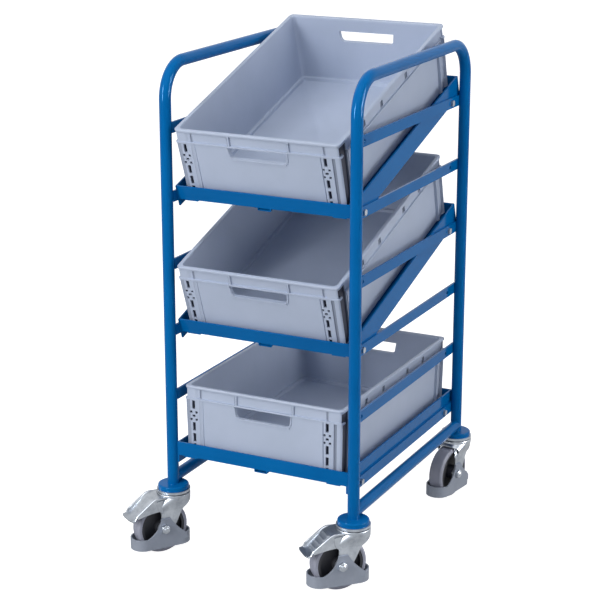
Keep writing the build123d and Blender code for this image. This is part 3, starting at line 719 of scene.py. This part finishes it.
# axle bolt: a chamfered hexagon with a domed end at each side, joined by the shank
# a row has a radius and a rise
axleNut = {
    "x": 36.5, "z": 62.5, "flats": 19.0, "start": 29.8, "shank": 6.0,
    "rows": ((11.0, 0.0), (11.0, 5.6), (10.6, 5.9), (10.2, 6.2), (9.8, 6.5), (9.4, 6.8), (9.0, 7.1),
             (7.2, 7.3), (6.0, 7.3), (5.8, 8.6), (4.6, 9.6), (2.4, 10.1)),
}


# a turned profile, cut back to the hexagon where that is nearer
def nutSurface(side):
    n = axleNut
    turn = np.arange(72) * pi / 36
    flat = n["flats"] / 2 / np.cos((turn + pi / 6) % (pi / 3) - pi / 6)
    radius, rise = np.array(n["rows"]).T[:, :, None]
    radius = np.minimum(radius, flat)
    y = side * (n["start"] + rise) + 0 * radius
    points = np.stack([n["x"] + radius * np.cos(turn), y, n["z"] + radius * np.sin(turn)], -1)
    return surface(points, caps=True, flip=side > 0)


def axleSurfaces():
    n = axleNut
    turn = np.arange(36) * pi / 18
    rim = np.stack([n["x"] + n["shank"] * np.cos(turn), n["z"] + n["shank"] * np.sin(turn)], 1)
    return [nutSurface(-1), nutSurface(1), plateBetween(rim, -n["start"], n["start"])]


corners = [name.removesuffix("_swivel_turn") for name in joints if name.endswith("_swivel_turn")]
for corner in corners:
    swivel = corner + "_swivel"
    addPiece(corner + "AxleBolt", atCaster(corner, axleSurfaces()), swivel, "zinc", [corner + "_axle"])
    if corner + "_pedal_press" in joints:
        addPiece(corner + "PedalShell", atCaster(corner, pedalSurfaces()), corner + "_pedal", "zinc",
                 [corner + "_brake_pedal"])
        cheeks = [cheekSurface(-1), cheekSurface(1)]
        addPiece(corner + "ForkCheeks", atCaster(corner, cheeks), swivel, "zinc")
    else:
        flanks = [flankSurface(-1), flankSurface(1)]
        addPiece(corner + "ForkFlanks", atCaster(corner, flanks), swivel, "zinc")
print("casters:", len(corners))

# camera: the photograph's height, angle and lens
view = {"azimuth": 26.46, "elevation": 16.64, "distance": 4.1832, "target": (-0.05425, 0.0, 0.5461),
        "lens": 105.66, "sensor": 36.0, "farthest": 100.0}
camera = bpy.data.objects.new("camera", bpy.data.cameras.new("camera"))
bpy.context.scene.collection.objects.link(camera)
turn, lift = radians(view["azimuth"]), radians(view["elevation"])
away = np.array([sin(turn) * cos(lift), -cos(turn) * cos(lift), sin(lift)])
camera.location = np.array(view["target"]) + away * view["distance"]
camera.rotation_euler = (pi / 2 - lift, 0, turn)
camera.data.lens = view["lens"]
camera.data.sensor_width = view["sensor"]
camera.data.clip_end = view["farthest"]
bpy.context.scene.camera = camera

# studio: white floor, a soft light to each side and one above
# two wider ones at the sides, the strips, only draw the highlights
# a lamp has the way and distance to it, the height of its middle, its width and height, and its power
studio = {
    "floor": 30.0, "paper": (0.45, 0.45, 0.45, 1), "floorGlow": 0.95, "mirrorGlow": 0.4, "world": 0.54,
    "lamps": {"left": (-20.0, 3.2, 1.75, 0.4, 1.7, 50.0), "right": (100.0, 3.2, 1.5, 0.4, 1.7, 33.0),
              "top": (10.0, 1.6, 3.0, 2.6, 2.2, 26.0)},
    "strips": {"leftStrip": (-21.0, 3.2, 1.4, 1.0, 1.6, 250.0),
               "rightStrip": (100.0, 3.2, 1.4, 1.0, 1.6, 215.0)},
}
white = (1, 1, 1, 1)
span = studio["floor"]
floorMesh = bpy.data.meshes.new("floor")
floorCorners = [(-span, -span, 0), (span, -span, 0), (span, span, 0), (-span, span, 0)]
floorMesh.from_pydata(floorCorners, [], [(0, 1, 2, 3)])
floor = bpy.data.objects.new("floor", floorMesh)
bpy.context.scene.collection.objects.link(floor)


# 1 for what the camera sees, and 1 for what is mirrored or seen through glass
def seenBy(wire):
    kinds = ("Is Camera Ray", "Is Glossy Ray", "Is Transmission Ray")
    direct, glossy, through = (wire.node("LightPath", output=kind) for kind in kinds)
    return direct, glossy + through


# the floor is white to the camera and bright in reflections, and still takes the object's shadow
def makeFloor():
    finish, wire = newFinish("whiteFloor")
    direct, mirrored = seenBy(wire)
    shine = studio["floorGlow"] * direct + studio["mirrorGlow"] * mirrored
    paper = wire.node("BsdfDiffuse", inputs={"Color": studio["paper"]})
    glow = wire.node("Emission", inputs={"Color": white, "Strength": shine})
    wire.node("OutputMaterial", inputs={"Surface": wire.node("AddShader", inputs={0: paper, 1: glow})})
    return finish


floorMesh.materials.append(makeFloor())
lamps = studio["lamps"] | studio["strips"]
for name, (way, distance, height, width, tall, power) in lamps.items():
    lamp = bpy.data.objects.new(name, bpy.data.lights.new(name, "AREA"))
    lamp.data.shape = "RECTANGLE"
    lamp.data.size = width
    lamp.data.size_y = tall
    lamp.data.energy = power
    lamp.visible_diffuse = name in studio["lamps"]
    lamp.location = (distance * sin(radians(way)), -distance * cos(radians(way)), height)
    drop = height - view["target"][2]
    lamp.rotation_euler = (np.arctan2(distance, drop), 0, radians(way))
    bpy.context.scene.collection.objects.link(lamp)

# the world lights the object softly and is white where it is seen
world = bpy.data.worlds.new("studio")
bpy.context.scene.world = world
world.use_nodes = True
world.node_tree.nodes.clear()
sky = Wire(world.node_tree)
direct, mirrored = seenBy(sky)
brightness = studio["world"] + (1 - studio["world"]) * (direct + mirrored)
backdrop = sky.node("Background", inputs={"Color": white, "Strength": brightness})
sky.node("OutputWorld", inputs={"Surface": backdrop})
bpy.context.scene.view_settings.view_transform = "Standard"
print("studio:", len(lamps), "lamps")
